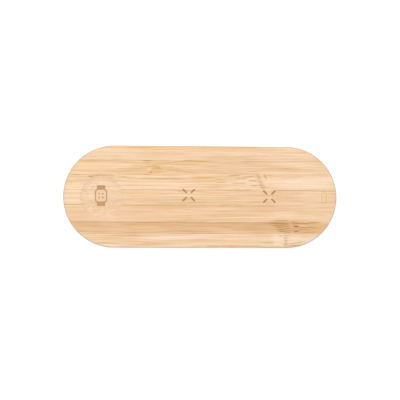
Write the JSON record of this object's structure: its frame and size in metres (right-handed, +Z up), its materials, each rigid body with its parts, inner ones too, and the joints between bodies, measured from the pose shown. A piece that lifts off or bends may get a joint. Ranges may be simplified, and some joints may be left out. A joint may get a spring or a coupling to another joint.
{
  "type": "wireless charger",
  "caption": "Flat bamboo charging plate with round ends, for two phones and a watch, closed by a screwed cover on rubber feet, with a charging port in its rear edge.",
  "frame": {"origin": "middle of the plate, in the plane that its feet stand on", "axes": "+X along the plate from the watch end to the light end, +Y to the rear edge that has the port, +Z up"},
  "size_m": [0.2424, 0.09, 0.0123],
  "materials": {
    "bamboo": "satin",
    "cover_plastic": "fine texture",
    "foot_rubber": "matte",
    "screw_steel": "nickel plated",
    "port_steel": "satin",
    "board_laminate": "solder mask",
    "chip_resin": "matte",
    "capacitor_ceramic": "matte",
    "coil_copper": "enamelled wire",
    "ferrite": "matte",
    "magnet_nickel": "nickel plated",
    "adhesive": "foam tape",
    "light_plastic": "frosted",
    "black_plastic": "matte",
    "cable_jacket": "smooth"
  },
  "bodies": {
    "root": {"bamboo_housing": "bamboo", "bottom_cover": "cover_plastic", "foot_1": "foot_rubber", "foot_2": "foot_rubber", "foot_3": "foot_rubber", "foot_4": "foot_rubber", "foot_5": "foot_rubber", "foot_6": "foot_rubber", "cover_screw_1": "screw_steel", "cover_screw_2": "screw_steel", "cover_screw_3": "screw_steel", "cover_screw_4": "screw_steel", "cover_screw_5": "screw_steel", "cover_screw_6": "screw_steel", "main_board": "board_laminate", "board_screw_1": "screw_steel", "board_screw_2": "screw_steel", "board_screw_3": "screw_steel", "control_chip_watch": "chip_resin", "control_chip_phone_left": "chip_resin", "control_chip_phone_right": "chip_resin", "power_inductor_left": "ferrite", "power_inductor_right": "ferrite", "input_capacitor": "capacitor_ceramic", "resonant_capacitor_watch": "capacitor_ceramic", "resonant_capacitor_phone_left": "capacitor_ceramic", "resonant_capacitor_phone_right": "capacitor_ceramic", "port_shell": "port_steel", "port_moulding": "black_plastic", "watch_adhesive": "adhesive", "watch_winding": "coil_copper", "watch_ferrite": "ferrite", "watch_magnet": "magnet_nickel", "phone_left_adhesive": "adhesive", "phone_left_winding": "coil_copper", "phone_left_ferrite": "ferrite", "phone_right_adhesive": "adhesive", "phone_right_winding": "coil_copper", "phone_right_ferrite": "ferrite", "light_window": "light_plastic", "light_holder": "black_plastic", "light_board": "board_laminate", "lamp": "light_plastic", "light_cable": "cable_jacket"}
  },
  "joints": []
}
